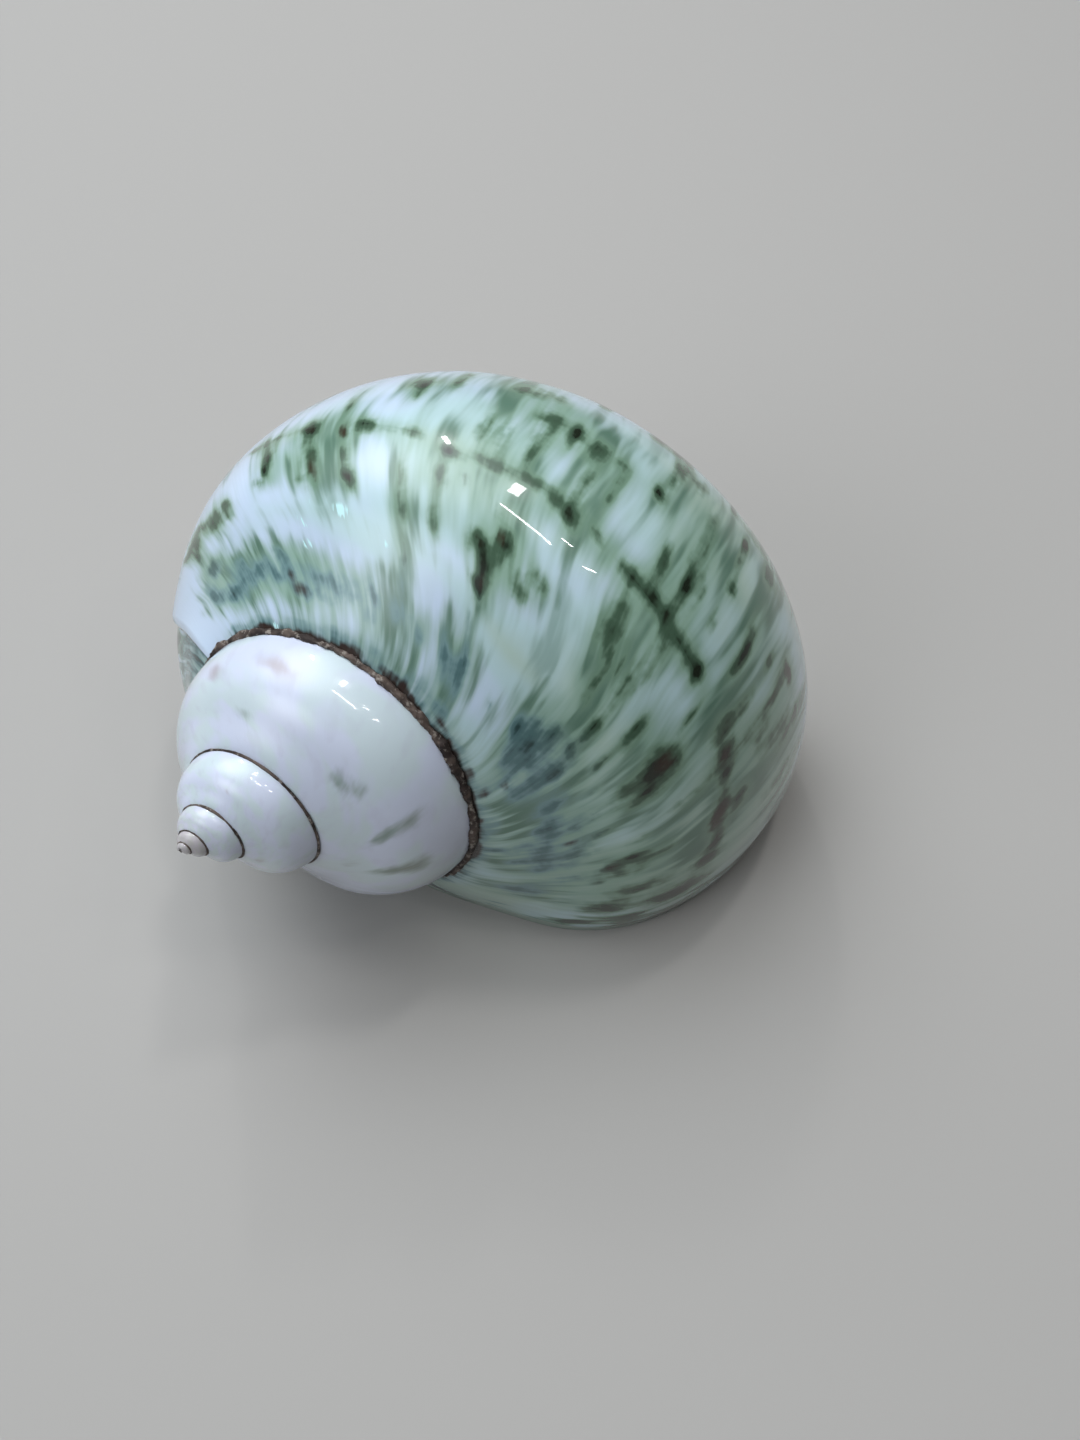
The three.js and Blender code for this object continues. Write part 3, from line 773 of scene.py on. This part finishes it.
def ground_lip_material():
    material, tree, shader = new_material("ground_lip")
    patches = streaks(tree, 60.0, 0.04, 2.0)
    depth = attribute(tree, "depth")
    layered = mix_color(tree, remap(tree, depth, 0.0, WALL), (0.34, 0.42, 0.36, 1), (0.62, 0.62, 0.56, 1))
    colour = mix_color(tree, remap(tree, patches, 0.5, 0.66, 0.0, 0.7), layered, (0.16, 0.21, 0.17, 1))
    feed(tree, colour, shader.inputs["Base Color"])
    gloss(shader, roughness=0.35, coat=0.4)
    return material


def rough_seam_material():
    material, tree, shader = new_material("rough_seam")
    where = object_coordinates(tree)
    grit = noise_node(tree, where, 900.0, 5.0, 0.65)
    blotch = noise_node(tree, where, 240.0, 3.0)
    shade_in_hollows = tree.nodes.new("ShaderNodeNewGeometry").outputs["Pointiness"]
    dark, brown = (0.022, 0.012, 0.009, 1), (0.105, 0.075, 0.060, 1)
    colour = mix_color(tree, remap(tree, blotch, 0.38, 0.60), dark, brown)
    colour = mix_color(tree, remap(tree, grit, 0.52, 0.66, 0.0, 0.8), colour, (0.34, 0.30, 0.26, 1))
    # Painted shade: the hollows of the crust, found by pointiness, are darkened where shade would fall in
    # them.
    colour = mix_color(tree, remap(tree, shade_in_hollows, 0.50, 0.44, 0.0, 0.7), colour, (0.03, 0.02, 0.016, 1))
    feed(tree, colour, shader.inputs["Base Color"])
    shader.inputs["Roughness"].default_value = 0.7
    bump = tree.nodes.new("ShaderNodeBump")
    bump.inputs["Strength"].default_value = 0.8
    bump.inputs["Distance"].default_value = 0.0003
    feed(tree, grit, bump.inputs["Height"])
    feed(tree, bump.outputs["Normal"], shader.inputs["Normal"])
    return material


pearl = pearl_material()
ground_lip = ground_lip_material()
rough_seam = rough_seam_material()
print("materials:", [m.name for m in (green_shell, white_shell, pearl, ground_lip, rough_seam)])

# %% [markdown]
# ## The last whorl
# The last whorl starts at a growth scar, where the animal once stopped and began again with a plain,
# swollen lip. It ends at the mouth, which has been ground level, so the grown solid is simply cut off
# level with the table. The lowest few millimetres are the lip, a piece of its own.

# %% Last whorl and lip
MOUTH_AGE = 0.02
LIP_HEIGHT = 3.2 * MM


def relief(bm, height):
    """Moves each vertex along its normal by height(age, around, depth)."""
    bm.normal_update()
    age_layer = bm.verts.layers.float["age"]
    around_layer = bm.verts.layers.float["around"]
    depth_layer = bm.verts.layers.float["depth"]
    for vert in bm.verts:
        rise = height(vert[age_layer], vert[around_layer], vert[depth_layer])
        vert.co += vert.normal * rise


def last_whorl_relief(age, around, depth):
    """The swollen start at the scar, and the slow waves of a hand-polished surface."""
    if depth > 0:
        return 0.0
    shoulder = math.exp(-(((around + 75) / 45) ** 2))
    swell = 1.3 * MM * math.exp(-max(0.0, age - SCAR_AGE) / 0.030) * shoulder
    waves = 0.16 * MM * noise.noise(Vector((age * 22, around * 0.035, 2)))
    return swell + waves


last_outline = wall_outline(0.0, WALL, 200, 70)
body = grow(SCAR_AGE, MOUTH_AGE, last_outline, 400)
relief(body, last_whorl_relief)
paint(body, MARKS, "green", 4, swell=1.2, strength_factor=0.9)
paint(body, MARKS, "wash", 4, swell=2.6, strength_factor=0.6)
paint(body, WASHES, "wash", 4)
paint(body, MARKS, "brown", 5)
paint(body, NACRE_GLINT_SPOTS, "pearl", 4)
stain_crevice(body, (-0.60, 0.0))
free_pattern(body)
lip = body.copy()
cut_level(body, LIP_HEIGHT)
cut_level(lip, LIP_HEIGHT, keep_above=False)
cut_level(lip, 0.0)
finish_piece(body, "last_whorl_wall", green_shell, "body_whorl")
finish_piece(lip, "lip_edge", ground_lip, "outer_lip")


# %% Last whorl before the scar
SKIN_START = -0.98


def early_relief(age, around, depth):
    """The older shell ends a little low, and the scar's thin lip stands on it."""
    if depth > 0:
        return 0.0
    near = math.exp(-abs(SCAR_AGE - age) / 0.012)
    waves = 0.16 * MM * noise.noise(Vector((age * 22, around * 0.035, 2)))
    return waves - 0.8 * MM * near


early = grow(-1.05, SCAR_AGE, last_outline, 280)
relief(early, early_relief)
paint(early, OLDER_MARKS, "green", 4)
paint(early, OLDER_MARKS, "wash", 4, swell=1.8, strength_factor=0.7)
free_pattern(early, skin_start=SKIN_START)
cut_level(early, 0.0)
finish_piece(early, "last_whorl_older_wall", green_shell, "body_whorl_early")

# %% [markdown]
# ## The spire
# The older whorls are smaller lengths of the same growth. They are plain white here, because the
# coloured skin was polished away. The first two are filled with shell, so their rings are solid.

# %% Spire whorls
SPIRE_STAGES = (
    ("penultimate_wall", "penultimate_whorl", -2.05, -1.05, wall_outline(0.0, WALL + NACRE, 150, 50), 240),
    ("spire_wall_3", "spire_whorl_3", -3.05, -2.05, wall_outline(0.0, 2 * WALL, 110, 36), 170),
    ("spire_wall_2", "spire_whorl_2", -4.05, -3.05, solid_outline(72), 120),
    ("first_whorls", "protoconch", -5.8, -4.05, solid_outline(40), 60),
)
for name, node, first, last, outline, rings in SPIRE_STAGES:
    stage = grow(first, last, outline, rings)
    paint(stage, SPIRE_MARKS, "green", 4)
    paint(stage, SPIRE_MARKS, "brown", 5)
    finish_piece(stage, name, white_shell, node)

# %% [markdown]
# ## Inside the mouth
# The inner layer of the wall is mother of pearl. It is grown like the wall, just inside it. Over the
# older whorl the animal lays a thin glaze, and the pillar that everything winds round shows at the
# inner side of the mouth.

# %% Pearl lining
NACRE_START = -0.76
lining = grow(NACRE_START, MOUTH_AGE - 0.004, wall_outline(WALL + 0.001, WALL + NACRE, 110, 90), 200)
cut_level(lining, 0.0)
finish_piece(lining, "pearl_lining", pearl, "nacre_lining")


# %% Glaze on the older whorl, and the pillar
def glaze_outline(count):
    """A thin leaf over the older whorl, feathered at both edges. Its depth is above the surface."""
    first, last, thick = 9, 172, 0.05
    top = [(first + (last - first) * i / (count - 1), i / (count - 1)) for i in range(count)]
    spots = [(angle, -thick * math.sin(math.pi * share) ** 0.6 - 0.002) for angle, share in top]
    return spots + [(angle, 0.012) for angle, share in reversed(top)][1:-1]


glaze = grow(-1.34, -0.93, glaze_outline(70), 160)
cut_level(glaze, 0.0)
finish_piece(glaze, "parietal_glaze", pearl, "parietal_callus")

PILLAR_SLOPE = 0.098
PILLAR_TOP = 14 * MM
PILLAR_FOOT = 122 * MM
PILLAR_FOOT_SLANT = PILLAR_SLOPE * math.tan(math.radians(60))


def make_pillar():
    """A cone turned about the coiling axis, its rounded foot slanting down to the mouth."""
    bm = bmesh.new()
    for layer in ("age", "around", "depth"):
        bm.verts.layers.float.new(layer)
    top = bm.verts.new((0.02, 0, 0))
    side = bm.verts.new((1, 0, 0))
    knee = bm.verts.new((1, 0, 0.86))
    curve = [top, side, knee]
    for i in range(1, 10):
        bend = math.radians(9 * i)
        curve.append(bm.verts.new((math.cos(bend), 0, 0.86 + 0.14 * math.sin(bend))))
    edges = [bm.edges.new(pair) for pair in zip(curve, curve[1:])]
    bmesh.ops.subdivide_edges(bm, edges=[edges[1]], cuts=60)
    bmesh.ops.spin(
        bm,
        geom=list(bm.verts) + list(bm.edges),
        cent=(0, 0, 0),
        axis=(0, 0, 1),
        angle=2 * math.pi,
        steps=72,
        use_merge=True,
    )
    bmesh.ops.holes_fill(bm, edges=[edge for edge in bm.edges if edge.is_boundary], sides=0)
    for vert in bm.verts:
        share = math.hypot(vert.co.x, vert.co.y)
        angle = math.atan2(vert.co.y, vert.co.x)
        foot = PILLAR_FOOT / (1 + PILLAR_FOOT_SLANT * (1 + share * math.cos(angle)))
        along = PILLAR_TOP + (foot - PILLAR_TOP) * vert.co.z
        spoke = UPWARD * math.cos(angle) + SIDEWARD * math.sin(angle)
        vert.co = APEX + AXIS * along + spoke * share * PILLAR_SLOPE * along
    bmesh.ops.recalc_face_normals(bm, faces=bm.faces)
    return bm


finish_piece(make_pillar(), "pillar", pearl, "columella")

# %% [markdown]
# ## Sutures
# The polisher's wheel doesn't reach into the groove where two whorls meet, so a rough brown crust is
# left there. It is a thread grown along the suture, then roughened with noise. On the spire it is
# thinner and darker.

# %% Suture threads
SEAM_SPOT = (0.822, 0.998)


def thread_outline(count, radius):
    """Points round a thread that lies in the groove, in ring radii from the axis and along it."""
    turns = [2 * math.pi * i / count for i in range(count)]
    return [(SEAM_SPOT[0] + radius * math.cos(t), SEAM_SPOT[1] + radius * math.sin(t)) for t in turns]


def roughen(bm, height):
    """Crumbles a smooth thread into a crust: long lumps, short lumps and grit."""
    bm.normal_update()
    for vert in bm.verts:
        lumps = noise.noise(vert.co * 260) + 0.7 * noise.noise(vert.co * 700)
        grit = 0.5 * noise.noise(vert.co * 2200)
        vert.co += vert.normal * height * (lumps + grit)


def grow_thread(first, last, radius, narrowing, rough, rings_per_turn):
    """A thread laid along the suture. Narrowing makes it swell more slowly than the shell."""
    bm = bmesh.new()
    age_layer = bm.verts.layers.float.new("age")
    outline = thread_outline(20, radius)
    ring = bmesh.ops.create_circle(bm, segments=len(outline), radius=1)["verts"]
    for vert, spot_on_ring in zip(ring, outline):
        vert.co = place(first, *spot_on_ring)
    spin_and_swell(bm, first, last, round((last - first) * rings_per_turn))
    close_ends(bm)
    bmesh.ops.recalc_face_normals(bm, faces=bm.faces)
    for vert in bm.verts:
        centre = place(vert[age_layer], *SEAM_SPOT)
        vert.co = centre + (vert.co - centre) * WHORL_GROWTH ** (-narrowing * (vert[age_layer] - first))
    roughen(bm, rough)
    return bm


seam = grow_thread(-1.0, -0.05, 0.029, 0.85, 0.50 * MM, 520)
finish_piece(seam, "suture_crust", rough_seam, "suture_seam")

spire_line = grow_thread(-5.0, -1.0, 0.14, 0.75, 0.10 * MM, 260)
finish_piece(spire_line, "spire_suture_line", rough_seam, None)

# %% [markdown]
# ## Table, light and camera
# The shell lies on a plain pale table. A large soft light overhead gives the milky sheen, and a few
# narrow ones give the small bright tubes that a glossy shell reflects. The room behind is pale to look
# at but gives little light, so that the dark side of the shell stays dark.

# %% Table
bm = bmesh.new()
just_below = Matrix.Translation((0, 0, -0.1 * MM))
bmesh.ops.create_grid(bm, x_segments=1, y_segments=1, size=3, matrix=just_below)
table_mesh = bpy.data.meshes.new("table")
bm.to_mesh(table_mesh)
bm.free()
table = bpy.data.objects.new("table", table_mesh)
bpy.context.scene.collection.objects.link(table)
table_material, _, table_shader = new_material("table")
table_shader.inputs["Base Color"].default_value = (0.42, 0.405, 0.385, 1)
table_shader.inputs["Roughness"].default_value = 0.8
table_mesh.materials.append(table_material)
print("table just below the lip, metres:", -0.1 * MM)

# %% Lights
TARGET = Vector((0, 0, 45 * MM))


def add_lamp(name, place_from_target, size, power, turned=0, color=(1, 1, 1), soft_edge=False):
    """A rectangular lamp that looks at the shell. A soft edge keeps its reflection soft as well."""
    lamp = bpy.data.lights.new(name, "AREA")
    lamp.shape = "RECTANGLE"
    lamp.size, lamp.size_y = size
    lamp.energy = power
    lamp.color = color
    holder = bpy.data.objects.new(name, lamp)
    way = Vector(place_from_target)
    holder.location = TARGET + way
    holder.rotation_mode = "QUATERNION"
    facing = way.to_track_quat("Z", "Y")
    holder.rotation_quaternion = Quaternion(way, math.radians(turned)) @ facing
    bpy.context.scene.collection.objects.link(holder)
    if soft_edge:
        fade_to_edge(lamp)
    return holder


def fade_to_edge(lamp):
    """Makes a lamp brightest in its middle, like a cloth screen with one bulb behind it."""
    lamp.use_nodes = True
    tree = lamp.node_tree
    glow = next(node for node in tree.nodes if node.type == "EMISSION")
    where = tree.nodes.new("ShaderNodeNewGeometry").outputs["Parametric"]
    offset = tree.nodes.new("ShaderNodeVectorMath")
    offset.operation = "DISTANCE"
    feed(tree, where, offset.inputs[0])
    offset.inputs[1].default_value = (0.5, 0.5, 0)
    feed(tree, remap(tree, offset.outputs["Value"], 0.0, 0.5, 1.7, 0.0), glow.inputs["Strength"])


add_lamp("soft_screen", (0.22, 0.72, 1.22), (2.2, 2.2), 50, color=(0.90, 0.95, 1.0), soft_edge=True)
add_lamp("side_screen", (-0.95, 0.35, 0.90), (1.4, 1.4), 15, color=(0.90, 0.95, 1.0), soft_edge=True)
add_lamp("far_lamp", (0.57, 0.65, 0.83), (0.03, 0.11), 0.9)
add_lamp("near_lamp", (0.46, 0.06, 1.11), (0.08, 0.15), 1.6)
add_lamp("long_tube", (0.17, -0.16, 1.15), (0.022, 0.42), 1.4, turned=-52)
add_lamp("short_tube", (0.31, -0.42, 1.08), (0.012, 0.09), 0.35, turned=-30)
add_lamp("end_tube", (0.24, -0.62, 1.00), (0.012, 0.09), 0.35, turned=20)

world = bpy.data.worlds.new("room")
bpy.context.scene.world = world
world.use_nodes = True
room = world.node_tree
background = room.nodes["Background"]
background.inputs["Color"].default_value = (0.86, 0.90, 0.96, 1)
seen_directly = room.nodes.new("ShaderNodeLightPath").outputs["Is Camera Ray"]
ROOM_LIGHT, ROOM_PALENESS = 0.06, 0.50
strength = remap(room, seen_directly, 0.0, 1.0, ROOM_LIGHT, ROOM_PALENESS)
feed(room, strength, background.inputs["Strength"])
print("lamps:", [lamp.name for lamp in bpy.data.lights])

# %% Camera
camera_data = bpy.data.cameras.new("camera")
camera_data.sensor_fit = "VERTICAL"
camera_data.sensor_height = 36
camera_data.lens = 32.75
camera = bpy.data.objects.new("camera", camera_data)
bpy.context.scene.collection.objects.link(camera)
LOOK_AZIMUTH = math.radians(35.24)
LOOK_DOWN = math.radians(61.34)
ROLL = math.radians(2.11)
camera.location = Vector((-94.2, -85.7, 257.9)) * MM
look = Vector((
    math.cos(LOOK_DOWN) * math.cos(LOOK_AZIMUTH),
    math.cos(LOOK_DOWN) * math.sin(LOOK_AZIMUTH),
    -math.sin(LOOK_DOWN),
))
camera.rotation_mode = "QUATERNION"
camera.rotation_quaternion = look.to_track_quat("-Z", "Y") @ Quaternion((0, 0, 1), ROLL)
bpy.context.scene.camera = camera
bpy.context.scene.view_settings.view_transform = "Standard"
print("camera, mm:", [round(c / MM, 1) for c in camera.location])
